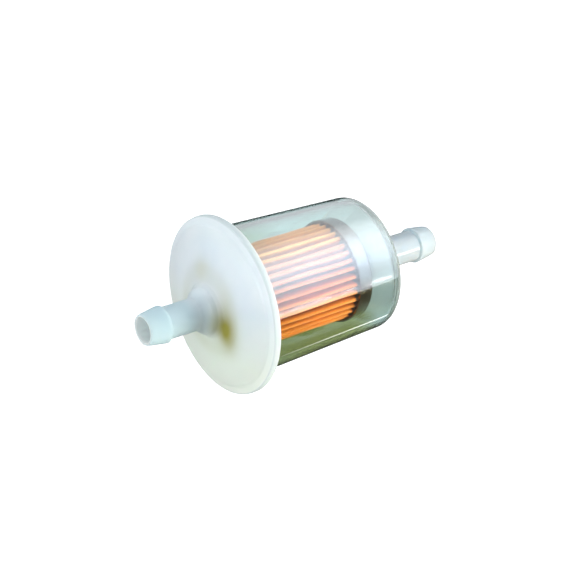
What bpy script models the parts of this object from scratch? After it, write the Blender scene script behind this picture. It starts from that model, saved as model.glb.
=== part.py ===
"""Inline fuel filter for small engines: a pleated-paper cartridge in a clear bowl, with a white hose cap.

The filter lies along X. The white outlet cap is at -X and the clear bowl, with its inlet nipple, at +X.
The origin is the middle of the overall length, on the axis. Fuel enters the bowl, passes inwards through
the paper, and leaves through the cap's nipple. Every piece that is turned is drawn as a profile of
(station, radius) points in millimetres, where a station is the distance from the flange's front plane,
positive towards the bowl.
"""

import math

import bpy
from mathutils import Vector

MM = 0.001

# ---------------------------------------------------------------- driving dimensions, in millimetres
TOTAL_LENGTH = 89.0
NIPPLE_REACH = 22.2  # flange front plane to the cap nipple's tip
BOWL_END = 43.8  # flange front plane to the outside of the bowl's end wall
FLANGE_RADIUS = 22.5
FLANGE_THICKNESS = 1.8
DOME_HEIGHT = 4.2  # how far the cap's face rises from its rim to the nipple's collar

BOWL_RADIUS_OPEN = 18.75  # at the flange; the moulding tapers for draft
BOWL_RADIUS_CLOSED = 17.25
BOWL_WALL = 1.5
BOWL_CORNER = 1.3

STEM_RADIUS = 4.05  # suits an 8 mm (5/16 in) hose
BARB_RADIUS = 4.65
TIP_RADIUS = 3.95
BORE_RADIUS = 3.2
BARB_LENGTH = 5.7
COLLAR_RADIUS = 6.1  # the thicker root where a nipple meets its wall

PLEATS = 37
PLEAT_OUTER = 12.6
PLEAT_INNER = 7.0
PAPER_THICKNESS = 0.35
PAPER_START = 4.5
PAPER_END = 34.4

END_CAP_RADIUS = 13.2
SHEET_METAL = 0.35
OPEN_CAP_START = 2.5
CLOSED_CAP_END = 36.9
END_CAP_DEPTH = 4.2
END_CAP_HOLE = 5.4
COLLAR_LENGTH = 2.6  # of the open cap's collar round the spigot
DIMPLE_DEPTH = 0.7  # of the blind cap's stiffening dimple
GASKET_RADIUS = 8.2

CORE_OUTER = 6.7
CORE_INNER = 6.0
CORE_WINDOW = (5.6, 2.4)  # length along the core, width
CORE_WINDOW_ROWS = 3
CORE_WINDOWS_PER_ROW = 6

CLIP_PLEAT = 10  # counted from the bottom pleat, round the far side, away from the clear front
CLIP_HALF_WIDTH = 0.88
CLIP_SHEET = 0.22
CLIP_REACH = 2.2  # how far it reaches down the pleat's two walls
CLIP_SHORTER_BY = 6.4  # it fits between the end caps' rims

SPIGOT_RADIUS = 5.0
SPIGOT_END = 6.2
SEAT_STATION = 0.6
GAP = 0.1  # clearance kept between pieces that bear on each other
WELD_GAP = 0.3
BEAD_RADIUS = 19.6
BEAD_RECESS = 0.15  # the shallow step in the flange's back that the weld bead lies in

TURN_STEPS = 48

FLANGE_X = NIPPLE_REACH - TOTAL_LENGTH / 2  # the flange's front plane, on the X axis
INLET_TIP = TOTAL_LENGTH - NIPPLE_REACH  # station of the bowl nipple's tip


# ---------------------------------------------------------------- scene and material helpers
def clear_scene():
    for old in list(bpy.data.objects):
        bpy.data.objects.remove(old, do_unlink=True)


def new_collection(name, hidden=False):
    made = bpy.data.collections.new(name)
    bpy.context.scene.collection.children.link(made)
    made.hide_render = hidden
    return made


def material(name, colour, roughness, metallic=0.0, alpha=1.0):
    """A plain Principled material in the piece's own colour."""
    made = bpy.data.materials.new(name)
    made.use_nodes = True
    shader = made.node_tree.nodes["Principled BSDF"]
    shader.inputs["Base Color"].default_value = (*colour, 1.0)
    shader.inputs["Roughness"].default_value = roughness
    shader.inputs["Metallic"].default_value = metallic
    shader.inputs["Alpha"].default_value = alpha
    made.diffuse_color = (*colour, alpha)
    return made


def add_object(name, data, collection, look=None):
    made = bpy.data.objects.new(name, data)
    collection.objects.link(made)
    if look:
        data.materials.append(look)
    return made


def lay_along_x(obj):
    """Turns a piece drawn about Z, with stations up Z, so that its stations run along +X from the flange."""
    obj.location = (FLANGE_X * MM, 0, 0)
    obj.rotation_euler = (0, math.pi / 2, 0)
    return obj


# ---------------------------------------------------------------- profile helpers
def arc(centre_station, centre_radius, radius, start_deg, end_deg, points):
    """Points on a fillet, from start to end. 0 degrees points away from the axis, 90 towards +station."""
    found = []
    for i in range(points):
        angle = math.radians(start_deg + (end_deg - start_deg) * i / (points - 1))
        found.append((centre_station + radius * math.sin(angle), centre_radius + radius * math.cos(angle)))
    return found


def nipple(tip, away, root):
    """The outside of a barbed hose nipple, from its tip's bore edge to its root on a wall.

    away is +1 where the tip points to +station and -1 where it points the other way. The barb tapers from
    the tip, ends in a sharp shoulder, and a thinner stem runs to a flared collar at station root.
    """
    def back(distance, radius):
        return (tip - away * distance, radius)

    flare = root + away * 3.3
    return [
        back(0, BORE_RADIUS),
        back(0, TIP_RADIUS - 0.35),
        back(0.15, TIP_RADIUS - 0.1),
        back(0.45, TIP_RADIUS + 0.05),
        back(BARB_LENGTH - 1.6, BARB_RADIUS - 0.1),
        back(BARB_LENGTH - 0.7, BARB_RADIUS),
        back(BARB_LENGTH, BARB_RADIUS - 0.08),
        back(BARB_LENGTH + 0.35, STEM_RADIUS),
        (flare, STEM_RADIUS),
        (root + away * 2.3, STEM_RADIUS + 0.55),
        (root + away * 1.2, COLLAR_RADIUS - 0.35),
        (root + away * 0.7, COLLAR_RADIUS),
        (root, COLLAR_RADIUS + 0.15),
    ]


def enclosed_area(profile):
    """Signed area of a closed profile: positive where its outer side runs towards lower stations."""
    following = profile[1:] + profile[:1]
    return sum(s0 * r1 - s1 * r0 for (s0, r0), (s1, r1) in zip(profile, following)) / 2


def turned(name, profile, collection, look, steps=TURN_STEPS):
    """A profile of (station, radius) points swept round the axis by a Screw modifier.

    A profile whose two ends lie on the axis stays open there; any other is closed into a loop. The outer
    side has to run from the highest station to the lowest for the faces to point outwards.
    """
    if enclosed_area(profile) < 0:
        profile = profile[::-1]
    meets_axis = profile[0][1] == 0 and profile[-1][1] == 0
    points = [Vector((radius * MM, 0, station * MM)) for station, radius in profile]
    edges = [(i, i + 1) for i in range(len(points) - 1)]
    if not meets_axis:
        edges.append((len(points) - 1, 0))
    mesh = bpy.data.meshes.new(name)
    mesh.from_pydata(points, edges, [])
    made = lay_along_x(add_object(name, mesh, collection, look))
    screw = made.modifiers.new("turn", "SCREW")
    screw.axis = "Z"
    screw.angle = 2 * math.pi
    screw.steps = steps
    screw.render_steps = steps
    screw.use_merge_vertices = True
    screw.merge_threshold = 1e-6
    screw.use_smooth_shade = True
    return made


# ---------------------------------------------------------------- the cap and the bowl
def outlet_cap_profile():
    """White cap: barbed nipple, domed flange, weld groove for the bowl, spigot for the cartridge."""
    outside = nipple(-NIPPLE_REACH, -1, -DOME_HEIGHT)
    dome = [
        (-DOME_HEIGHT + 0.75, 9.2),
        (-DOME_HEIGHT + 1.75, 13.5),
        (-DOME_HEIGHT + 2.95, 18.0),
        (-0.25, 21.6),
    ]
    rim = arc(0.5, FLANGE_RADIUS - 0.5, 0.5, -70, 0, 3)
    rim += [(FLANGE_THICKNESS - 0.3, FLANGE_RADIUS), (FLANGE_THICKNESS, FLANGE_RADIUS - 0.3)]
    bowl_inner = BOWL_RADIUS_OPEN - BOWL_WALL
    groove = [
        (FLANGE_THICKNESS, BEAD_RADIUS + 2 * GAP),
        (FLANGE_THICKNESS - BEAD_RECESS, BEAD_RADIUS + GAP),
        (FLANGE_THICKNESS - BEAD_RECESS, BOWL_RADIUS_OPEN + WELD_GAP),
        (FLANGE_THICKNESS - 1.2, BOWL_RADIUS_OPEN + WELD_GAP),
        (FLANGE_THICKNESS - 1.2, bowl_inner - WELD_GAP),
    ]
    skirt = [(4.0, bowl_inner - WELD_GAP - 0.1), (4.2, bowl_inner - WELD_GAP - 0.4), (4.2, 15.7)]
    dished_back = [(1.0, 15.3), (SEAT_STATION - 0.6, 12.0), (SEAT_STATION - 1.2, 9.0), (SEAT_STATION, 8.6)]
    seat_and_spigot = [
        (SEAT_STATION, SPIGOT_RADIUS),
        (SPIGOT_END - 0.4, SPIGOT_RADIUS),
        (SPIGOT_END, SPIGOT_RADIUS - 0.4),
        (SPIGOT_END, BORE_RADIUS),
    ]
    return outside + dome + rim + groove + skirt + dished_back + seat_and_spigot


def clear_bowl_profile():
    """Clear bowl: open at the weld groove, closed by the end wall with the inlet nipple."""
    rim = FLANGE_THICKNESS - 1.2 + WELD_GAP
    inner_open = BOWL_RADIUS_OPEN - BOWL_WALL
    inner_closed = BOWL_RADIUS_CLOSED - BOWL_WALL
    inner_end = BOWL_END - BOWL_WALL
    outside = nipple(INLET_TIP, 1, BOWL_END)
    corner = arc(BOWL_END - BOWL_CORNER, BOWL_RADIUS_CLOSED - BOWL_CORNER, BOWL_CORNER, 90, 0, 5)
    mouth = [(rim, BOWL_RADIUS_OPEN), (rim, inner_open)]
    inner_corner = arc(inner_end - 1.0, inner_closed - 1.0, 1.0, 0, 90, 4)
    throat = [(inner_end, BORE_RADIUS + 0.6), (inner_end + 0.5, BORE_RADIUS)]
    return outside + corner + mouth + inner_corner + throat


def weld_bead_profile():
    """The ring of melted plastic that spin welding leaves in the corner between flange and bowl."""
    inner = BOWL_RADIUS_OPEN + GAP
    start = FLANGE_THICKNESS - BEAD_RECESS + GAP
    return [
        (start, BEAD_RADIUS),
        (start + 0.35, BEAD_RADIUS - 0.05),
        (start + 0.7, (BEAD_RADIUS + inner) / 2),
        (start + 0.85, inner),
        (start, inner),
    ]


# ---------------------------------------------------------------- the cartridge
def pleat_path():
    """The folded paper's middle line, once round, as (x, y) points in millimetres.

    Each pleat is a flat outer fold and a flat inner fold of three points, joined by straight walls.
    """
    outer = PLEAT_OUTER - PAPER_THICKNESS / 2
    inner = PLEAT_INNER + PAPER_THICKNESS / 2
    fold = 0.22  # half the width of a fold's turn
    found = []
    for i in range(PLEATS):
        crest = 2 * math.pi * i / PLEATS
        valley = crest + math.pi / PLEATS
        for middle, radius, lift in ((crest, outer, 0.16), (valley, inner, -0.12)):
            for side in (-1, 0, 1):
                reach = radius if side == 0 else radius - lift
                angle = middle + side * fold / radius
                found.append((reach * math.cos(angle), reach * math.sin(angle)))
    return found


def filter_paper(collection, look):
    """One sheet of pleated paper: a folded ribbon, thickened by Solidify."""
    curve = bpy.data.curves.new("filter_paper", "CURVE")
    curve.dimensions = "2D"
    curve.fill_mode = "NONE"
    curve.extrude = (PAPER_END - PAPER_START) / 2 * MM
    path = pleat_path()
    spline = curve.splines.new("POLY")
    spline.points.add(len(path) - 1)
    for point, (x, y) in zip(spline.points, path):
        point.co = (x * MM, y * MM, 0, 1)
    spline.use_cyclic_u = True
    made = add_object("filter_paper", curve, collection, look)
    lay_along_x(made)
    made.location.x += (PAPER_START + PAPER_END) / 2 * MM
    thick = made.modifiers.new("paper thickness", "SOLIDIFY")
    thick.thickness = PAPER_THICKNESS * MM
    thick.offset = 0
    thick.use_even_offset = True
    return made


def seam_clip(collection, look):
    """The crimped strip that joins the paper's first and last fold: a channel over one pleat's crest."""
    inside = CLIP_HALF_WIDTH - CLIP_SHEET
    top = PLEAT_OUTER + GAP
    foot = PLEAT_OUTER - CLIP_REACH
    crest = 2 * math.pi * CLIP_PLEAT / PLEATS
    inner_half = [(foot, inside), (top, inside)]
    outer_half = [(top + CLIP_SHEET, CLIP_HALF_WIDTH), (foot, CLIP_HALF_WIDTH)]
    inner_side = [(out, side * across) for side in (1, -1) for out, across in inner_half[::side]]
    outer_side = [(out, side * across) for side in (-1, 1) for out, across in outer_half[::side]]
    outline = inner_side + outer_side
    length = PAPER_END - PAPER_START - CLIP_SHORTER_BY
    curve = bpy.data.curves.new("seam_clip", "CURVE")
    curve.dimensions = "2D"
    curve.fill_mode = "BOTH"
    curve.extrude = length / 2 * MM
    spline = curve.splines.new("POLY")
    spline.points.add(len(outline) - 1)
    for point, (out, across) in zip(spline.points, outline):
        x = out * math.cos(crest) - across * math.sin(crest)
        y = out * math.sin(crest) + across * math.cos(crest)
        point.co = (x * MM, y * MM, 0, 1)
    spline.use_cyclic_u = True
    made = add_object("seam_clip", curve, collection, look)
    lay_along_x(made)
    made.location.x += (PAPER_START + PAPER_END) / 2 * MM
    return made


def end_cap_profile(face, depth, hole):
    """A pressed steel cup over the pleats. face is the station of its outside, depth points to its rim."""
    inward = 1 if depth > 0 else -1
    inner_radius = END_CAP_RADIUS - SHEET_METAL
    rim = face + depth
    corner = 0.6
    outer_side = [
        (face, hole),
        (face, END_CAP_RADIUS - corner),
        (face + inward * 0.18, END_CAP_RADIUS - 0.18),
        (face + inward * corner, END_CAP_RADIUS),
        (rim, END_CAP_RADIUS),
        (rim, inner_radius),
        (face + inward * (corner + 0.1), inner_radius),
        (face + inward * SHEET_METAL, inner_radius - 0.4),
    ]
    return outer_side, face + inward * SHEET_METAL


def open_end_cap(collection, look):
    """The cartridge's cap at the flange, with a hole and collar for the spigot."""
    cup, inside = end_cap_profile(OPEN_CAP_START, END_CAP_DEPTH, END_CAP_HOLE)
    collar = [
        (inside, END_CAP_HOLE + SHEET_METAL),
        (inside + COLLAR_LENGTH, END_CAP_HOLE + SHEET_METAL),
        (inside + COLLAR_LENGTH, END_CAP_HOLE),
    ]
    return turned("open_end_cap", cup + collar, collection, look)


def closed_end_cap(collection, look):
    """The cartridge's blind cap, seen through the bowl, with a stiffening dimple in its middle."""
    cup, inside = end_cap_profile(CLOSED_CAP_END, -END_CAP_DEPTH, 8.6)
    face = CLOSED_CAP_END
    bottom = DIMPLE_DEPTH
    dimple_outside = [(face - bottom, 0), (face - bottom, 6.6), (face - 0.5, 7.2), (face - 0.15, 8.1)]
    dimple_inside = [(inside, 8.3), (inside - 0.5, 7.4), (inside - bottom, 6.8), (inside - bottom, 0)]
    return turned("closed_end_cap", dimple_outside + cup + dimple_inside, collection, look)


def ring_profile(start, end, inner, outer, edge=0.0):
    """A plain ring, with its outer edges eased by edge."""
    if not edge:
        return [(start, inner), (start, outer), (end, outer), (end, inner)]
    eased = [(start, outer - edge), (start + edge, outer), (end - edge, outer), (end, outer - edge)]
    return [(start, inner)] + eased + [(end, inner)]


def support_core(collection, cutters, look):
    """A moulded tube with windows, which keeps the pleats from folding inwards."""
    tube = ring_profile(PAPER_START, PAPER_END, CORE_INNER, CORE_OUTER)
    core = turned("support_core", tube, collection, look)
    length, width = CORE_WINDOW
    pitch = (PAPER_END - PAPER_START) / CORE_WINDOW_ROWS
    bars = []
    for row in range(CORE_WINDOW_ROWS):
        station = PAPER_START + pitch * (row + 0.5)
        for k in range(CORE_WINDOWS_PER_ROW // 2):
            bpy.ops.mesh.primitive_cube_add(size=1, location=((FLANGE_X + station) * MM, 0, 0))
            bar = bpy.context.object
            bar.name = f"core_window_{row}_{k}"
            bar.scale = (length * MM, width * MM, 4 * CORE_OUTER * MM)
            bar.rotation_euler = (math.pi * (k + 0.5 * (row % 2)) / (CORE_WINDOWS_PER_ROW // 2), 0, 0)
            bar.hide_render = True
            bar.display_type = "WIRE"
            bar.users_collection[0].objects.unlink(bar)
            cutters.objects.link(bar)
            bars.append(bar)
    for bar in bars:
        cut = core.modifiers.new(bar.name, "BOOLEAN")
        cut.operation = "DIFFERENCE"
        cut.solver = "EXACT"
        cut.object = bar
    return core


# ---------------------------------------------------------------- assembly
def build():
    clear_scene()
    filter_parts = new_collection("inline_fuel_filter")
    cutters = new_collection("cutters", hidden=True)

    white_nylon = material("white_nylon", (0.80, 0.84, 0.82), 0.35)
    clear_nylon = material("clear_nylon", (0.62, 0.74, 0.72), 0.05, alpha=0.3)
    weld = material("weld_flash", (0.78, 0.82, 0.80), 0.45)
    paper = material("orange_paper", (0.90, 0.47, 0.22), 0.85)
    steel = material("lacquered_steel", (0.12, 0.105, 0.07), 0.3, metallic=0.8)
    tin = material("tinned_strip", (0.55, 0.53, 0.48), 0.35, metallic=1.0)
    adhesive = material("dark_adhesive", (0.16, 0.10, 0.05), 0.5)
    rubber = material("black_rubber", (0.03, 0.03, 0.03), 0.6)
    core_plastic = material("core_plastic", (0.70, 0.70, 0.66), 0.5)

    turned("outlet_cap", outlet_cap_profile(), filter_parts, white_nylon)
    turned("clear_bowl", clear_bowl_profile(), filter_parts, clear_nylon)
    turned("weld_bead", weld_bead_profile(), filter_parts, weld)

    filter_paper(filter_parts, paper)
    seam_clip(filter_parts, tin)
    support_core(filter_parts, cutters, core_plastic)
    open_end_cap(filter_parts, steel)
    closed_end_cap(filter_parts, steel)

    inside = END_CAP_RADIUS - SHEET_METAL - GAP
    collar = END_CAP_HOLE + SHEET_METAL + GAP
    open_potting = ring_profile(OPEN_CAP_START + SHEET_METAL + GAP, PAPER_START - GAP, collar, inside - 0.4)
    turned("open_end_potting", open_potting, filter_parts, adhesive)
    dimple = CLOSED_CAP_END - SHEET_METAL - DIMPLE_DEPTH
    closed_potting = ring_profile(PAPER_END + GAP, dimple - GAP, 0, inside)
    turned("closed_end_potting", closed_potting, filter_parts, adhesive)
    gasket = ring_profile(SEAT_STATION + GAP, OPEN_CAP_START - GAP, SPIGOT_RADIUS + GAP, GASKET_RADIUS, 0.3)
    turned("spigot_gasket", gasket, filter_parts, rubber)


build()
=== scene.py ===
import math

import bpy
from mathutils import Matrix, Vector, noise

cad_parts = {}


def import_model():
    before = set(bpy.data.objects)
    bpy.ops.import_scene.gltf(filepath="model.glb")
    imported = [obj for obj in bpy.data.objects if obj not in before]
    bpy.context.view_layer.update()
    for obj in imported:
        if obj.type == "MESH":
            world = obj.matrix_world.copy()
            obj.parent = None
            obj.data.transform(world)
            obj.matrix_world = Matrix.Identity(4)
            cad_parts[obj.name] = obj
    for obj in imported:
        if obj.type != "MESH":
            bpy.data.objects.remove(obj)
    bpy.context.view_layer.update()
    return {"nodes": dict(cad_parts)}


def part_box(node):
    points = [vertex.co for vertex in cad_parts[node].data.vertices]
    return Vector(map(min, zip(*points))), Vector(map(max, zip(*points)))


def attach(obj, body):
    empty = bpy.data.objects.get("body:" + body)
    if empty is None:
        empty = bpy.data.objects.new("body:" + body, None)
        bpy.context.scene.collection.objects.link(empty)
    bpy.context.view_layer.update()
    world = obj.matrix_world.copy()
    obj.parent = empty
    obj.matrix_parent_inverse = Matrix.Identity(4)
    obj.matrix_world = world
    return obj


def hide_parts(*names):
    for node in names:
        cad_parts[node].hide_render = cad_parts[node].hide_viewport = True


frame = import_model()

MM = 0.001

# Stations run along +X in millimetres from the flange's front plane, and radii are about the X axis.
CAP_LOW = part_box("outlet_cap")[0]
BOWL_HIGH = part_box("clear_bowl")[1]
NIPPLE_REACH = 22.2
FLANGE_X = CAP_LOW[0] + NIPPLE_REACH * MM
FLANGE_AT = FLANGE_X / MM  # the same plane in millimetres, for the materials
FLANGE_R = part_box("outlet_cap")[1][2] / MM
FLANGE_BACK = 1.8
INLET_TIP = (BOWL_HIGH[0] - FLANGE_X) / MM
BORE = 3.2
STEM = 4.05
BARB = 4.66
BOWL_END = 43.8
BOWL_R_OPEN, BOWL_R_CLOSED = 18.75, 17.25
WALL = 1.5
PAPER_FROM = (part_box("filter_paper")[0][0] - FLANGE_X) / MM
PAPER_TO = (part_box("filter_paper")[1][0] - FLANGE_X) / MM
PLEATS = 37
CREST_R, VALLEY_R = 12.6, 7.0

scene = bpy.context.scene


# ------------------------------------------------------------------------------------------ mesh helpers
def new_object(name, mesh, look, sharp=32):
    """A smooth-shaded object whose edges stay sharp past an angle in degrees, unless sharp is None."""
    made = bpy.data.objects.new(name, mesh)
    scene.collection.objects.link(made)
    mesh.polygons.foreach_set("use_smooth", [True] * len(mesh.polygons))
    if sharp is not None:
        mesh.set_sharp_from_angle(angle=math.radians(sharp))
    mesh.materials.append(look)
    return made


def rounded(corners, segments):
    """A polyline of (station, radius[, fillet]) corners, with an arc in place of each that has a fillet."""
    found = []
    count = len(corners)
    for i, corner in enumerate(corners):
        here = Vector(corner[:2])
        fillet = corner[2] if len(corner) > 2 else 0
        before, after = Vector(corners[i - 1][:2]), Vector(corners[(i + 1) % count][:2])
        if not fillet:
            found.append(tuple(here))
            continue
        to_before, to_after = (before - here).normalized(), (after - here).normalized()
        angle = to_before.angle(to_after)
        if angle > math.pi - 0.02:
            found.append(tuple(here))
            continue
        back = min(fillet / math.tan(angle / 2), 0.48 * (before - here).length, 0.48 * (after - here).length)
        start, end = here + to_before * back, here + to_after * back
        for k in range(segments + 1):
            t = k / segments
            found.append(tuple((1 - t) ** 2 * start + 2 * t * (1 - t) * here + t * t * end))
    return found


def lathe(name, profile, look, steps, closed=True, bend=None):
    """Sweeps (station, radius) points round the axis. bend(station, angle, radius) may nudge a radius."""
    verts, faces, rows = [], [], []
    for station, radius in profile:
        if radius < 1e-6:
            rows.append([len(verts)])
            verts.append((FLANGE_X + station * MM, 0, 0))
            continue
        row = []
        for k in range(steps):
            angle = 2 * math.pi * k / steps
            r = bend(station, angle, radius) if bend else radius
            row.append(len(verts))
            verts.append((FLANGE_X + station * MM, -r * math.cos(angle) * MM, r * math.sin(angle) * MM))
        rows.append(row)
    pairs = list(zip(rows, rows[1:] + rows[:1])) if closed else list(zip(rows, rows[1:]))
    for a, b in pairs:
        if len(a) == 1 and len(b) == 1:
            continue
        for k in range(steps):
            n = (k + 1) % steps
            if len(a) == 1:
                faces.append((a[0], b[k], b[n]))
            elif len(b) == 1:
                faces.append((a[k], b[0], a[n]))
            else:
                faces.append((a[k], b[k], b[n], a[n]))
    mesh = bpy.data.meshes.new(name)
    mesh.from_pydata(verts, [], faces)
    mesh.validate()
    made = new_object(name, mesh, look)
    face_outwards(made)
    return made


def face_outwards(obj):
    """Turns a closed mesh's faces outwards by the sign of its volume."""
    mesh = obj.data
    mesh.calc_loop_triangles()
    volume = 0.0
    for tri in mesh.loop_triangles:
        a, b, c = (mesh.vertices[i].co for i in tri.vertices)
        volume += a.dot(b.cross(c))
    if volume < 0:
        mesh.flip_normals()


def place(piece, node_name):
    """Rides the piece on the part's one body, in place of the CAD node, which it hides."""
    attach(piece, "root")
    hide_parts(node_name)


# ------------------------------------------------------------------------------------------ node helpers
def material(name):
    made = bpy.data.materials.new(name)
    made.use_nodes = True
    tree = made.node_tree
    return made, tree, tree.nodes["Principled BSDF"]


def node(tree, kind, inputs=None, **settings):
    made = tree.nodes.new(kind)
    for key, value in settings.items():
        setattr(made, key, value)
    for key, value in (inputs or {}).items():
        if isinstance(value, bpy.types.NodeSocket):
            tree.links.new(value, made.inputs[key])
        else:
            made.inputs[key].default_value = value
    return made


def position(tree):
    """The piece's own coordinates, in millimetres, as one vector socket."""
    spot = node(tree, "ShaderNodeTexCoord").outputs["Object"]
    return node(tree, "ShaderNodeVectorMath", {0: spot, "Scale": 1000.0}, operation="SCALE").outputs[0]


def maths(tree, operation, a, b=None, c=None, clamp=False):
    inputs = {0: a}
    if b is not None:
        inputs[1] = b
    if c is not None:
        inputs[2] = c
    return node(tree, "ShaderNodeMath", inputs, operation=operation, use_clamp=clamp).outputs[0]


def fade(tree, value, start, end):
    """0 up to start and 1 past end, and even between them. start may be the larger of the two."""
    return maths(tree, "MULTIPLY", maths(tree, "SUBTRACT", value, start), 1 / (end - start), clamp=True)


def bell(tree, value, middle, width):
    """1 at the middle, smoothly down to about a third at width from it, and then to 0."""
    off = maths(tree, "MULTIPLY", maths(tree, "SUBTRACT", value, middle), 1 / width)
    return maths(tree, "EXPONENT", maths(tree, "MULTIPLY", maths(tree, "MULTIPLY", off, off), -1.0))


def ramp(tree, factor, stops):
    """A colour ramp with a (place, colour) stop for each pair."""
    made = node(tree, "ShaderNodeValToRGB", {0: factor})
    elements = made.color_ramp.elements
    while len(elements) < len(stops):
        elements.new(0.5)
    for element, (at, colour) in zip(elements, stops):
        element.position = at
        element.color = (*colour, 1)
    return made.outputs[0]


def grey(value):
    return (value, value, value)


def noise_at(tree, where, scale, detail=3, roughness=0.55, stretch=(1, 1, 1)):
    """Noise with about 1/scale millimetres between features, longer where stretch is small."""
    spread = node(tree, "ShaderNodeVectorMath", {0: where, 1: stretch}, operation="MULTIPLY").outputs[0]
    settings = {"Vector": spread, "Scale": scale, "Detail": detail, "Roughness": roughness}
    return node(tree, "ShaderNodeTexNoise", settings).outputs["Fac"]


def mix_colour(tree, factor, a, b, blend="MIX"):
    made = node(tree, "ShaderNodeMix", data_type="RGBA", blend_type=blend)
    for index, value in ((0, factor), (6, a), (7, b)):
        if isinstance(value, bpy.types.NodeSocket):
            tree.links.new(value, made.inputs[index])
        else:
            made.inputs[index].default_value = value if index == 0 else (*value, 1)
    return made.outputs[2]


def tinted(tree, base, factor, amount, colour):
    """The base colour, turned towards another by up to amount where the factor is 1."""
    return mix_colour(tree, maths(tree, "MULTIPLY", factor, amount), base, colour)


def bump(tree, height, distance, strength):
    inputs = {"Height": height, "Distance": distance, "Strength": strength}
    return node(tree, "ShaderNodeBump", inputs).outputs[0]


def axes(tree, where):
    """The x, y and z sockets of a vector socket."""
    return tuple(node(tree, "ShaderNodeSeparateXYZ", {0: where}).outputs)


def axis_distance(tree, y, z):
    """Distance from the filter's axis, which is X."""
    squares = maths(tree, "ADD", maths(tree, "MULTIPLY", y, y), maths(tree, "MULTIPLY", z, z))
    return maths(tree, "SQRT", squares)


# ------------------------------------------------------------------------------------------ materials
# Painted shadow of the inner parts showing through the flange, as soft patches: y and z of the middle, width,
# height and strength.
INNER_SHADOW_PATCHES = (
    (-7.3, -2.0, 2.3, 3.6, 0.50),  # its core, against the nipple's root on the near side
    (-8.3, -4.0, 3.5, 5.6, 0.40),  # the soft edge below it
    (-7.4, 2.5, 3.2, 6.0, 0.16),  # the faint reach above it
    (3.6, 10.4, 3.4, 4.0, 0.16),  # a faint spot of its own, above the nipple
)


def painted_inner_shadow(tree, x, y, z, radius, cloud):
    """How strong the painted shade is: a weak ring and the patches, on the flange's front and the nipple's
    root.
    """
    painted_shade = maths(tree, "MULTIPLY", bell(tree, radius, 9.0, 3.4), 0.17)
    for at_y, at_z, wide, tall, strength in INNER_SHADOW_PATCHES:
        smear = maths(tree, "MULTIPLY", bell(tree, y, at_y, wide), bell(tree, z, at_z, tall))
        painted_shade = maths(tree, "MULTIPLY_ADD", smear, strength, painted_shade)
    painted_shade = maths(tree, "MULTIPLY", painted_shade, maths(tree, "MULTIPLY_ADD", cloud, 0.5, 0.75), clamp=True)
    front = fade(tree, x, FLANGE_AT - 2.0, FLANGE_AT - 3.0)
    root = fade(tree, x, FLANGE_AT - 10.0, FLANGE_AT - 6.0)
    return maths(tree, "MULTIPLY", maths(tree, "MULTIPLY", painted_shade, front), root)


def white_nylon():
    """Natural white nylon: milky, satin, with painted shade: an olive shadow of the inner parts showing
    through round the nipple's root, a greener tint low down, a darker rim edge and stem, and a paler bore.
    """
    made, tree, shader = material("white_nylon_finish")
    where = position(tree)
    x, y, z = axes(tree, where)
    radius = axis_distance(tree, y, z)
    cloud = noise_at(tree, where, 0.12, 2)
    fine = noise_at(tree, where, 0.9, 4, 0.6)
    colour = ramp(tree, cloud, [(0.3, (0.76, 0.825, 0.89)), (0.7, (0.81, 0.865, 0.92))])
    # painted light: greener and brighter low down, standing in for light bounced from below
    low = fade(tree, z, 5.0, -11.0)
    colour = tinted(tree, colour, low, 0.9, (0.85, 0.93, 0.83))
    # painted shade: the olive shadow of the inner parts showing through round the nipple's root
    colour = mix_colour(tree, painted_inner_shadow(tree, x, y, z, radius, cloud), colour, (0.40, 0.37, 0.08))
    # painted shade: a darker grey line round the rim's edge
    rim = fade(tree, radius, FLANGE_R - 0.5, FLANGE_R - 0.2)
    colour = tinted(tree, colour, rim, 0.85, (0.60, 0.68, 0.70))
    # painted shade: the nipple's stem darker and bluer than the flange
    stem = fade(tree, x, FLANGE_AT - 4.2, FLANGE_AT - 11.2)
    colour = tinted(tree, colour, stem, 0.9, (0.50, 0.68, 0.75))
    # painted light: the bore paler, against the shade inside it
    bore = fade(tree, radius, BORE + 0.5, BORE + 0.1)
    colour = mix_colour(tree, bore, colour, (0.86, 0.98, 1.0))
    tree.links.new(colour, shader.inputs["Base Color"])
    tree.links.new(ramp(tree, fine, [(0.3, grey(0.30)), (0.75, grey(0.42))]), shader.inputs["Roughness"])
    shader.inputs["IOR"].default_value = 1.53
    shader.inputs["Subsurface Weight"].default_value = 0.85
    shader.inputs["Subsurface Radius"].default_value = (1.0, 1.1, 1.05)
    shader.inputs["Subsurface Scale"].default_value = 0.0028
    height = maths(tree, "MULTIPLY_ADD", fine, 0.25, noise_at(tree, where, 0.35, 2))
    tree.links.new(bump(tree, height, 0.00006, 0.5), shader.inputs["Normal"])
    return made


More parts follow.
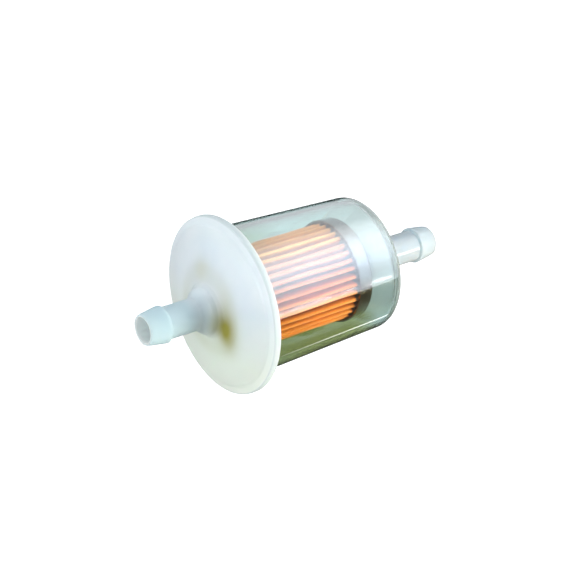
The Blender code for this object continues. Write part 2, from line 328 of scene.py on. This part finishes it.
def clear_nylon():
    """Clear bowl: glossy, with a painted tint standing in for the surroundings seen in and through it: darker
    olive-green low down, grey-teal above, paler towards the far end, and a painted shadow by the flange.
    """
    made, tree, shader = material("clear_nylon_finish")
    where = position(tree)
    x, _, z = axes(tree, where)
    cloud = noise_at(tree, where, 0.08, 2)
    # painted light and shade: the tint by height stands in for dark surroundings reflected in and seen
    # through the bowl
    level = maths(tree, "MULTIPLY_ADD", z, 0.5 / BOWL_R_OPEN, 0.5)
    level = maths(tree, "MULTIPLY_ADD", maths(tree, "SUBTRACT", cloud, 0.5), 0.12, level)
    # painted light: paler towards the far end
    far_end = fade(tree, x, FLANGE_AT + 26.0, FLANGE_AT + 43.0)
    level = maths(tree, "MULTIPLY_ADD", far_end, 0.2, level, clamp=True)
    tint = ramp(tree, level, [
        (0.1, (0.44, 0.42, 0.14)),
        (0.29, (0.58, 0.58, 0.26)),
        (0.38, (0.88, 0.95, 0.93)),
        (1.0, (0.89, 0.96, 0.97)),
    ])
    # painted shadow: darker and greener near the flange
    painted_flange_shadow = fade(tree, x, FLANGE_AT + 16.0, FLANGE_AT + 2.0)
    tint = tinted(tree, tint, painted_flange_shadow, 0.5, (0.40, 0.50, 0.34))
    tree.links.new(tint, shader.inputs["Base Color"])
    smear = noise_at(tree, where, 0.5, 3, 0.6, (0.3, 1, 1))
    tree.links.new(ramp(tree, smear, [(0.35, grey(0.015)), (0.8, grey(0.07))]), shader.inputs["Roughness"])
    shader.inputs["IOR"].default_value = 1.5
    milk = fade(tree, x, FLANGE_AT + BOWL_END - 1.9, FLANGE_AT + BOWL_END - 0.7)  # the thick end wall
    tree.links.new(maths(tree, "MULTIPLY_ADD", milk, -0.5, 1.0), shader.inputs["Transmission Weight"])
    shader.inputs["Specular IOR Level"].default_value = 0.9
    shader.inputs["Coat Weight"].default_value = 1.0
    shader.inputs["Coat Roughness"].default_value = 0.02
    shader.inputs["Coat IOR"].default_value = 1.75
    height = noise_at(tree, where, 0.18, 2, 0.5, (0.4, 1, 1))
    tree.links.new(bump(tree, height, 0.0001, 0.3), shader.inputs["Normal"])

    # light reaches the paper straight through the bowl, which casts only a faint shadow
    shadow_ray = node(tree, "ShaderNodeLightPath").outputs["Is Shadow Ray"]
    clear = node(tree, "ShaderNodeBsdfTransparent", {"Color": (0.93, 0.96, 0.95, 1)})
    surface = node(tree, "ShaderNodeMixShader", {0: shadow_ray, 1: shader.outputs[0], 2: clear.outputs[0]})
    depth = node(tree, "ShaderNodeVolumeAbsorption", {"Color": (0.45, 0.72, 0.68, 1), "Density": 30.0})
    out = tree.nodes["Material Output"]
    tree.links.new(surface.outputs[0], out.inputs["Surface"])
    tree.links.new(depth.outputs[0], out.inputs["Volume"])
    return made


def milky_nylon():
    """The inlet nipple: the bowl's plastic, clouded where it is thick, so it glows a pale blue-white."""
    made, tree, shader = material("milky_nylon_finish")
    where = position(tree)
    cloud = noise_at(tree, where, 0.15, 2)
    fine = noise_at(tree, where, 0.9, 4, 0.6)
    colour = ramp(tree, cloud, [(0.3, (0.68, 0.85, 1.0)), (0.7, (0.74, 0.89, 1.0))])
    tree.links.new(colour, shader.inputs["Base Color"])
    tree.links.new(ramp(tree, fine, [(0.3, grey(0.14)), (0.75, grey(0.24))]), shader.inputs["Roughness"])
    shader.inputs["IOR"].default_value = 1.5
    shader.inputs["Transmission Weight"].default_value = 0.25
    shader.inputs["Subsurface Weight"].default_value = 0.9
    shader.inputs["Subsurface Radius"].default_value = (1.0, 1.1, 1.2)
    shader.inputs["Subsurface Scale"].default_value = 0.003
    tree.links.new(bump(tree, noise_at(tree, where, 0.35, 2), 0.00006, 0.5), shader.inputs["Normal"])
    return made


def orange_paper():
    """Resin-treated filter paper: vivid orange with fibres and streaks, and painted light and shade: paler
    and yellower on top, redder and darker above the axis, lighter crests and dark folds, darker still below
    the axis.
    """
    made, tree, shader = material("orange_paper_finish")
    where = position(tree)
    x, y, z = axes(tree, where)
    radius = axis_distance(tree, y, z)
    fibre = noise_at(tree, where, 2.6, 5, 0.65)
    streak = noise_at(tree, where, 0.8, 3, 0.6, (0.12, 1, 1))
    blotch = noise_at(tree, where, 0.16, 2)
    base = ramp(tree, streak, [(0.3, (0.80, 0.17, 0.012)), (0.7, (0.92, 0.26, 0.025))])
    base = tinted(tree, base, blotch, 0.35, (0.95, 0.33, 0.05))
    # painted highlight: the crests lighter
    crest = fade(tree, radius, CREST_R - 0.7, CREST_R + 0.1)
    base = tinted(tree, base, crest, 0.35, (0.99, 0.42, 0.10))
    # painted shade: the folds dark, darker still below the axis
    fold = fade(tree, radius, CREST_R - 0.4, CREST_R - 1.6)
    below = fade(tree, z, 0.6, -0.6)
    painted_fold_shade = mix_colour(tree, below, (0.62, 0.075, 0.012), (0.16, 0.006, 0.0005))
    base = tinted(tree, base, fold, 0.93, painted_fold_shade)
    # painted light and shade: redder and darker above the axis, paler and yellower at the top
    top = fade(tree, z, 10.6, 11.8)
    middle = maths(tree, "SUBTRACT", fade(tree, z, 0.4, 2.4), top)
    base = tinted(tree, base, middle, 0.72, (0.50, 0.11, 0.06))
    base = tinted(tree, base, top, 0.55, (1.0, 0.55, 0.20))
    ragged = maths(tree, "MULTIPLY_ADD", maths(tree, "SUBTRACT", streak, 0.5), 1.6, x)
    soaked_and_shaded = fade(tree, ragged, FLANGE_AT + 32.1, FLANGE_AT + 32.6)  # painted shade where the pleats meet the closed cup, and adhesive soaked into their ends
    base = tinted(tree, base, soaked_and_shaded, 0.92, (0.05, 0.025, 0.01))
    speck = ramp(tree, fibre, [(0.35, grey(0.88)), (0.62, grey(1.05))])
    base = mix_colour(tree, 1.0, base, speck, "MULTIPLY")
    tree.links.new(base, shader.inputs["Base Color"])
    tree.links.new(ramp(tree, fibre, [(0.3, grey(0.72)), (0.8, grey(0.92))]), shader.inputs["Roughness"])
    shader.inputs["Sheen Weight"].default_value = 0.15
    shader.inputs["Specular IOR Level"].default_value = 0.3
    shader.inputs["Subsurface Weight"].default_value = 0.1
    shader.inputs["Subsurface Radius"].default_value = (1.0, 0.45, 0.2)
    shader.inputs["Subsurface Scale"].default_value = 0.0004
    tree.links.new(bump(tree, fibre, 0.00005, 0.8), shader.inputs["Normal"])
    return made


def steel_painted_reflection():
    """Thin pressed steel: its olive-brown tone is a painted reflection of dark surroundings, painted greyer
    and paler above the axis, with draw lines and small rubs.
    """
    made, tree, shader = material("steel_painted_reflection_finish")
    where = position(tree)
    z = axes(tree, where)[2]
    lines = noise_at(tree, where, 5.0, 3, 0.6, (1.0, 0.05, 0.05))
    cloud = noise_at(tree, where, 0.3, 3)
    # painted reflection: olive-brown, standing in for dark surroundings mirrored in the steel
    base = ramp(tree, cloud, [(0.3, (0.18, 0.12, 0.05)), (0.7, (0.24, 0.165, 0.08))])
    # painted light: greyer and paler above the axis
    base = tinted(tree, base, fade(tree, z, 0.0, 3.0), 0.8, (0.20, 0.22, 0.22))
    rubs = ramp(tree, noise_at(tree, where, 1.6, 4, 0.7), [(0.66, grey(0.0)), (0.72, grey(0.6))])
    base = mix_colour(tree, rubs, base, (0.34, 0.32, 0.26))
    tree.links.new(base, shader.inputs["Base Color"])
    shader.inputs["Metallic"].default_value = 1.0
    tree.links.new(ramp(tree, lines, [(0.3, grey(0.10)), (0.7, grey(0.18))]), shader.inputs["Roughness"])
    shader.inputs["Coat Weight"].default_value = 0.3
    shader.inputs["Coat Roughness"].default_value = 0.1
    tree.links.new(bump(tree, lines, 0.00002, 0.4), shader.inputs["Normal"])
    return made


def plain_finish(name, low, high, rough, scale, metallic=0.0, depth=0.00004, stretch=(1, 1, 1)):
    """A mottled solid finish for the small inner pieces: two tones, uneven gloss and a fine surface."""
    made, tree, shader = material(name)
    where = position(tree)
    tone = noise_at(tree, where, scale, 4, 0.6, stretch)
    fine = noise_at(tree, where, scale * 4, 3, 0.6, stretch)
    tree.links.new(ramp(tree, tone, [(0.3, low), (0.7, high)]), shader.inputs["Base Color"])
    gloss = ramp(tree, fine, [(0.3, grey(rough - 0.08)), (0.7, grey(rough + 0.08))])
    tree.links.new(gloss, shader.inputs["Roughness"])
    shader.inputs["Metallic"].default_value = metallic
    tree.links.new(bump(tree, fine, depth, 0.7), shader.inputs["Normal"])
    return made


NYLON = white_nylon()
CLEAR = clear_nylon()
MILKY = milky_nylon()
PAPER = orange_paper()
STEEL = steel_painted_reflection()
FLASH = plain_finish("weld_flash_finish", (0.70, 0.76, 0.76), (0.84, 0.88, 0.88), 0.42, 1.2)
ADHESIVE = plain_finish("dark_adhesive_finish", (0.10, 0.065, 0.03), (0.20, 0.13, 0.06), 0.35, 0.7)
RUBBER = plain_finish("black_rubber_finish", (0.018, 0.018, 0.018), (0.04, 0.04, 0.038), 0.6, 1.5)
CORE = plain_finish("core_plastic_finish", (0.52, 0.52, 0.48), (0.64, 0.64, 0.60), 0.5, 0.5)
STRIP = plain_finish(
    "tinned_strip_finish", (0.42, 0.40, 0.36), (0.62, 0.60, 0.55), 0.36, 1.4,
    metallic=1.0, depth=0.00003, stretch=(0.1, 1, 1),
)


# ------------------------------------------------------------------------------------------ cap and bowl
def nipple_corners(tip, away, root):
    """Outside corners of a barbed nipple from its tip's bore edge to the wall it grows from."""
    collar = 6.12

    def at(distance, radius, fillet=0.0):
        return (tip - away * distance, radius, fillet)

    return [
        at(0, BORE, 0.25),
        at(0, 3.78, 0.45),
        at(0.9, 4.02, 0.6),
        at(4.9, 4.62, 0.5),
        at(5.5, BARB, 0.18),
        at(5.85, STEM, 0.25),
        (root + away * 3.5, STEM, 1.6),
        (root + away * 1.6, collar - 0.45, 0.7),
        (root + away * 0.5, collar, 0.5),
    ]


def parting_line(height, width_deg, low, high):
    """A fine line left by the mould on both sides of a nipple, on its skin between two radii."""
    def bend(station, angle, radius):
        if not low < radius < high:
            return radius
        away = min(abs(math.degrees(angle) - side) for side in (90, 270))
        return radius + height * max(0.0, 1 - away / width_deg)
    return bend


def cap_moulding():
    corners = nipple_corners(-NIPPLE_REACH, -1, -4.2)
    dome = [(-3.95, 7.0, 0.8), (-3.35, 9.6), (-2.75, 12.2), (-2.1, 15.0), (-1.35, 17.8)]
    dome += [(-0.68, 20.0, 0.4), (-0.34, 20.6, 0.4)]
    rim = [(-0.12, 21.6), (0.1, FLANGE_R - 0.08, 0.6), (0.7, FLANGE_R), (1.2, FLANGE_R)]
    rim += [(FLANGE_BACK, FLANGE_R, 0.4), (FLANGE_BACK, FLANGE_R - 0.9)]
    groove = [(FLANGE_BACK, 19.85, 0.05), (1.65, 19.75), (1.65, 19.05, 0.1)]
    groove += [(0.6, 19.05, 0.15), (0.6, 16.95, 0.15)]
    skirt = [(4.2, 16.85, 0.35), (4.2, 15.7, 0.3), (1.0, 15.3, 1.0), (0.0, 12.0, 1.0), (-0.6, 9.0, 0.4)]
    spigot = [(0.6, 8.6, 0.15), (0.6, 5.0, 0.15), (6.2, 5.0, 0.45), (6.2, BORE, 0.2)]
    profile = rounded(corners + dome + rim + groove + skirt + spigot, 5)
    made = lathe("cap_moulding", profile, NYLON, 192, bend=parting_line(0.05, 3.0, 3.7, 4.8))
    place(made, "outlet_cap")


def bowl_shell():
    mouth_at, steps = 0.9, 8
    inner_end = BOWL_END - WALL
    inner_open, inner_closed = BOWL_R_OPEN - WALL, BOWL_R_CLOSED - WALL

    def wall(start, end):
        """The points between two (station, radius) points."""
        return [tuple(Vector(start).lerp(Vector(end), k / steps)) for k in range(1, steps)]

    outside = [(BOWL_END, BORE, 0.1), (BOWL_END, BOWL_R_CLOSED, 1.9)]
    outside += wall((BOWL_END, BOWL_R_CLOSED), (mouth_at, BOWL_R_OPEN))
    mouth = [(mouth_at, BOWL_R_OPEN, 0.15), (mouth_at, inner_open, 0.15)]
    inside = wall((mouth_at, inner_open), (inner_end, inner_closed))
    inside += [(inner_end, inner_closed, 1.3), (inner_end, 3.9, 0.3), (inner_end + 0.6, BORE, 0.3)]
    made = lathe("bowl_shell", rounded(outside + mouth + inside, 6), CLEAR, 192)
    place(made, "clear_bowl")


def inlet_nipple():
    root = BOWL_END + 0.02
    corners = nipple_corners(INLET_TIP, 1, root) + [(root, 6.6, 0.1), (root, BORE, 0.1)]
    made = lathe("inlet_nipple", rounded(corners, 6), MILKY, 128, bend=parting_line(0.05, 3.0, 3.7, 4.8))
    place(made, "clear_bowl")


def weld_ring():
    """The uneven bead of melted plastic where the bowl was spun into the cap."""
    def bend(station, angle, radius):
        if radius <= 19:
            return radius
        wave = noise.noise(Vector((math.cos(angle) * 2.2, math.sin(angle) * 2.2, station)))
        fine = noise.noise(Vector((math.cos(angle) * 9, math.sin(angle) * 9, station + 5)))
        return radius + 0.07 * wave + 0.05 * fine

    inner = 18.86
    corners = [(1.75, 19.55, 0.1), (2.1, 19.5, 0.2), (2.45, 19.25, 0.2)]
    corners += [(2.6, inner, 0.05), (1.75, inner, 0.05)]
    made = lathe("weld_ring", rounded(corners, 4), FLASH, 240, bend=bend)
    place(made, "weld_bead")


# ------------------------------------------------------------------------------------------ cartridge
def pleat_outline(outer, inner):
    """(angle, radius) points once round the folded sheet, with no two pleats quite alike."""
    half = math.pi / PLEATS
    crest_half, crest_drop = 0.34, 0.26  # half the width of a crest's round, and how far it falls away
    fold_half, fold_lift = 0.2, 0.16  # the same for the folds between crests
    path = []
    for i in range(PLEATS):
        crest = 2 * math.pi * i / PLEATS + 0.010 * noise.noise(Vector((i * 1.7, 3.1, 0)))
        reach = outer - 0.16 * abs(noise.noise(Vector((i * 2.3, 7.7, 0))))
        wall = half - crest_half / outer - fold_half / inner
        for t in (-1.0, -0.62, -0.25, 0.25, 0.62, 1.0):  # round the crest
            path.append((crest + t * crest_half / outer, reach - crest_drop * t * t))
        for t in (0.25, 0.5, 0.75):  # down one wall
            path.append((crest + crest_half / outer + wall * t, reach + (inner - reach) * t))
        for t in (-1.0, -0.4, 0.4, 1.0):  # round the fold
            path.append((crest + half + t * fold_half / inner, inner + fold_lift * t * t))
        for t in (0.75, 0.5, 0.25):  # up the next wall
            path.append((crest + 2 * half - (crest_half / outer + wall * t), reach + (inner - reach) * t))
    return path


def pleated_paper():
    """One sheet of paper folded into pleats, which waver slightly along their length."""
    thickness = 0.32
    outer = CREST_R - thickness / 2
    path = pleat_outline(outer, VALLEY_R + thickness / 2)
    rows = 31
    verts, faces = [], []
    for j in range(rows):
        station = PAPER_FROM + (PAPER_TO - PAPER_FROM) * j / (rows - 1)
        middle = math.sin(math.pi * j / (rows - 1))  # the ends are held by the cups
        for angle, radius in path:
            where = Vector((math.cos(angle) * 3.2, math.sin(angle) * 3.2, station * 0.09))
            sway = 0.028 * middle * noise.noise(where)
            dent = 0.10 * middle * noise.noise(where * 2.1 + Vector((9, 4, 2))) - 0.05 * middle
            height = (radius - VALLEY_R) / (CREST_R - VALLEY_R)
            a, r = angle + sway, min(radius + dent * height, outer)
            # local angle 0 is straight down, the pleat the seam clip is counted from
            verts.append((FLANGE_X + station * MM, r * math.sin(a) * MM, -r * math.cos(a) * MM))
    width = len(path)
    for j in range(rows - 1):
        for k in range(width):
            n = (k + 1) % width
            faces.append((j * width + k, (j + 1) * width + k, (j + 1) * width + n, j * width + n))
    mesh = bpy.data.meshes.new("pleated_paper")
    mesh.from_pydata(verts, [], faces)
    made = new_object("pleated_paper", mesh, PAPER, None)
    thick = made.modifiers.new("thickness", "SOLIDIFY")
    thick.thickness = thickness * MM
    thick.offset = 0
    place(made, "filter_paper")


def pressed_cup(name, node_name, face, inward, hole):
    """A steel cup over the pleats' ends, with a rolled rim. inward is 1 or -1, the way its rim points."""
    outer, sheet, depth = 13.2, 0.35, 4.2
    dish, collar = 0.65, sheet + 2.6  # how far in a blind cup's middle and a holed cup's collar reach

    def at(inset, radius, fillet=0.0):
        return (face + inward * inset, radius, fillet)

    bead = [at(0, 9.0, 0.3), at(0.18, 9.3, 0.2), at(0.18, 10.1, 0.2), at(0, 10.4, 0.3), at(0, outer, 0.7)]
    roll = [
        at(depth - 0.5, outer, 0.1),
        at(depth - 0.3, outer + 0.12, 0.1),
        at(depth, outer + 0.10, 0.12),
        at(depth, outer - sheet, 0.12),
        at(sheet, outer - sheet, 0.5),
    ]
    if hole:
        lip = [at(sheet, hole + sheet, 0.2), at(collar, hole + sheet, 0.1), at(collar, hole, 0.1)]
        profile = rounded([at(0, hole)] + bead + roll + lip, 4)
        made = lathe(name, profile, STEEL, 144)
    else:
        front = [at(dish, 0), at(dish, 6.9, 0.4), at(0, 8.1, 0.4)]
        back = [at(sheet, 8.4, 0.4), at(sheet + dish, 7.2, 0.4), at(sheet + dish, 0)]
        profile = rounded(front + bead + roll + back, 4)
        made = lathe(name, profile, STEEL, 144, closed=False)
    place(made, node_name)


cap_moulding()
bowl_shell()
inlet_nipple()
weld_ring()
pleated_paper()
pressed_cup("blind_cup", "closed_end_cap", 36.9, -1, None)
pressed_cup("open_cup", "open_end_cap", 2.5, 1, 5.4)

for name, look in (
    ("seam_clip", STRIP),
    ("support_core", CORE),
    ("open_end_potting", ADHESIVE),
    ("closed_end_potting", ADHESIVE),
    ("spigot_gasket", RUBBER),
):
    for held in frame["nodes"][name].material_slots:
        held.material = look


# ------------------------------------------------------------------------------------------ stage
FLOOR_Z = -0.115
# The softbox: its angles run from the near side (-Y), over the top, to the back.
SOFTBOX_R, SOFTBOX_FROM, SOFTBOX_TO = 0.30, -15.5, 172.0
SOFTBOX_LEVELS = (  # (degrees, how bright)
    (-15.5, 0.38), (2, 0.42), (16, 0.52), (29, 0.72), (45, 0.86), (62, 0.84),
    (75, 0.68), (93, 0.48), (106, 0.27), (130, 0.20), (172, 0.15),
)
SOFTBOX_LAMP, SOFTBOX_MIRRORED = 0.8, 4.0  # its strength as a lamp, and what reflections add to it


def floor():
    """A plain pale floor. The bowl's reflections and what is seen through it have tones of their own."""
    made, tree, shader = material("floor_finish")
    where = position(tree)
    y = axes(tree, where)[1]
    fleck = noise_at(tree, where, 0.02, 3)
    tree.links.new(ramp(tree, fleck, [(0.3, grey(0.86)), (0.7, grey(0.90))]), shader.inputs["Base Color"])
    shader.inputs["Roughness"].default_value = 0.9
    shader.inputs["Specular IOR Level"].default_value = 0.1
    shader.inputs["Emission Color"].default_value = (1, 1, 1, 1)
    shader.inputs["Emission Strength"].default_value = 0.8
    ray = node(tree, "ShaderNodeLightPath").outputs
    lit = mix_colour(tree, ray["Is Glossy Ray"], (0.60, 0.60, 0.55), (0.035, 0.04, 0.035))
    dim = node(tree, "ShaderNodeBsdfDiffuse", {"Color": lit}).outputs[0]
    beyond = mix_colour(tree, fade(tree, y, 250.0, 650.0), (0.78, 0.98, 0.97), (0.58, 0.74, 0.73))
    through = mix_colour(tree, fade(tree, y, -10.0, -70.0), beyond, (0.13, 0.11, 0.085))
    glow = node(tree, "ShaderNodeEmission", {"Color": through}).outputs[0]
    unseen = node(tree, "ShaderNodeMixShader", {0: ray["Is Transmission Ray"], 1: dim, 2: glow}).outputs[0]
    both = node(tree, "ShaderNodeMixShader", {0: ray["Is Camera Ray"], 1: unseen, 2: shader.outputs[0]})
    tree.links.new(both.outputs[0], tree.nodes["Material Output"].inputs["Surface"])
    mesh = bpy.data.meshes.new("floor")
    side = 12.0
    corners = [(-side, -side, 0), (side, -side, 0), (side, side, 0), (-side, side, 0)]
    mesh.from_pydata(corners, [], [(0, 1, 2, 3)])
    mesh.materials.append(made)
    plane = bpy.data.objects.new("floor", mesh)
    plane.location = (0, 0, FLOOR_Z)
    scene.collection.objects.link(plane)


def curved_panel(name, radius, near, far, low, high, steps):
    """A strip of faces round the filter's axis, between two stations in metres and two angles in degrees."""
    verts, faces = [], []
    for k in range(steps + 1):
        angle = math.radians(low + (high - low) * k / steps)
        for x in (near, far):
            verts.append((x, -radius * math.cos(angle), radius * math.sin(angle)))
    for k in range(steps):
        faces.append((2 * k, 2 * k + 1, 2 * k + 3, 2 * k + 2))
    mesh = bpy.data.meshes.new(name)
    mesh.from_pydata(verts, [], faces)
    panel = bpy.data.objects.new(name, mesh)
    panel.visible_camera = False
    panel.visible_shadow = False
    scene.collection.objects.link(panel)
    return panel


def glow_material(name):
    """An empty material, and the x, y and z sockets of the object's own coordinates in metres."""
    made = bpy.data.materials.new(name)
    made.use_nodes = True
    tree = made.node_tree
    tree.nodes.clear()
    return made, tree, axes(tree, node(tree, "ShaderNodeTexCoord").outputs["Object"])


def softbox():
    """A curved white panel round the near side, whose straight lower edge shows as a line on the bowl."""
    panel = curved_panel("softbox", SOFTBOX_R, 0.06, 0.46, SOFTBOX_FROM, SOFTBOX_TO, 72)
    made, tree, (_, y, z) = glow_material("softbox_glow")
    angle = maths(tree, "ARCTAN2", z, maths(tree, "MULTIPLY", y, -1.0))
    share = fade(tree, angle, math.radians(SOFTBOX_FROM), math.radians(SOFTBOX_TO))
    span = SOFTBOX_TO - SOFTBOX_FROM
    level = ramp(tree, share, [((at - SOFTBOX_FROM) / span, grey(value)) for at, value in SOFTBOX_LEVELS])
    cast = ramp(tree, share, [(0.3, (0.80, 0.86, 1.0)), (0.55, (0.88, 0.88, 0.92))])
    colour = mix_colour(tree, 1.0, cast, level, "MULTIPLY")
    glossy = node(tree, "ShaderNodeLightPath").outputs["Is Glossy Ray"]
    strength = maths(tree, "MULTIPLY_ADD", glossy, SOFTBOX_MIRRORED, SOFTBOX_LAMP)
    glow = node(tree, "ShaderNodeEmission", {"Color": colour, "Strength": strength})
    node(tree, "ShaderNodeOutputMaterial", {"Surface": glow.outputs[0]})
    panel.data.materials.append(made)


def low_strip():
    """A narrow lit strip low on the near side, which draws one thin bright line along the bowl."""
    middle, half = -82.0, 1.3
    panel = curved_panel("low_strip", 0.09, 0.030, 0.085, middle - half, middle + half, 1)
    panel.visible_transmission = False
    made, tree, (x, _, _) = glow_material("low_strip_glow")
    glossy = node(tree, "ShaderNodeLightPath").outputs["Is Glossy Ray"]
    strength = maths(tree, "MULTIPLY", glossy, 3.0)
    glow = node(tree, "ShaderNodeEmission", {"Color": fade(tree, x, 0.035, 0.070), "Strength": strength})
    node(tree, "ShaderNodeOutputMaterial", {"Surface": glow.outputs[0]})
    panel.data.materials.append(made)


def area_light(name, place_at, size, power, colour=(1, 1, 1), aim=(0, 0, 0), mirrored=True):
    """A rectangular lamp in watts. It is left out of reflections unless mirrored."""
    light = bpy.data.lights.new(name, "AREA")
    light.shape = "RECTANGLE"
    light.size, light.size_y = size
    light.energy = power
    light.color = colour
    made = bpy.data.objects.new(name, light)
    made.visible_glossy = mirrored
    made.location = place_at
    made.rotation_mode = "QUATERNION"
    made.rotation_quaternion = (Vector(aim) - Vector(place_at)).to_track_quat("-Z", "Y")
    scene.collection.objects.link(made)


def world():
    made = bpy.data.worlds.new("studio")
    made.use_nodes = True
    scene.world = made
    tree = made.node_tree
    ray = node(tree, "ShaderNodeLightPath").outputs["Is Camera Ray"]
    colour = mix_colour(tree, ray, (0.40, 0.43, 0.45), (1.0, 1.0, 1.0))
    tree.links.new(colour, tree.nodes["Background"].inputs["Color"])


def camera():
    """The photo's view: a long lens from the outlet's side, above, with a slight roll."""
    lens, distance = 107.98, 0.43132
    aim = Vector((-0.00127, 0.00027, -0.00116))
    azimuth, elevation, roll = (math.radians(degrees) for degrees in (-37.746, 26.077, 1.145))
    data = bpy.data.cameras.new("camera")
    data.sensor_width = 36
    data.lens = lens
    data.clip_start, data.clip_end = 0.01, 50
    level = math.cos(elevation)
    back = Vector((math.sin(azimuth) * level, -math.cos(azimuth) * level, math.sin(elevation)))
    made = bpy.data.objects.new("camera", data)
    made.location = aim + back * distance
    turn = (-back).to_track_quat("-Z", "Y").to_matrix().to_4x4() @ Matrix.Rotation(roll, 4, "Z")
    made.rotation_mode = "QUATERNION"
    made.rotation_quaternion = turn.to_quaternion()
    scene.collection.objects.link(made)
    scene.camera = made


floor()
softbox()
low_strip()
area_light("overhead", (0.1, 0.35, 0.9), (1.1, 0.9), 4.6, aim=(0, 0.1, -0.1))
area_light("camera_fill", (-0.68, -0.36, 0.26), (0.5, 0.5), 1.0, (0.98, 0.98, 1.0))
area_light("left_fill", (-0.85, 0.15, 0.0), (0.4, 0.2), 2.7, (0.96, 0.98, 0.98))
area_light("side_key", (0.40, -0.58, -0.085), (0.24, 0.05), 6.2, (1.0, 0.93, 0.84), mirrored=False)
world()
camera()
scene.view_settings.view_transform = "Standard"
bounces = 24  # rays cross the bowl's walls many times
scene.cycles.max_bounces = bounces
scene.cycles.transmission_bounces = bounces
scene.cycles.transparent_max_bounces = bounces
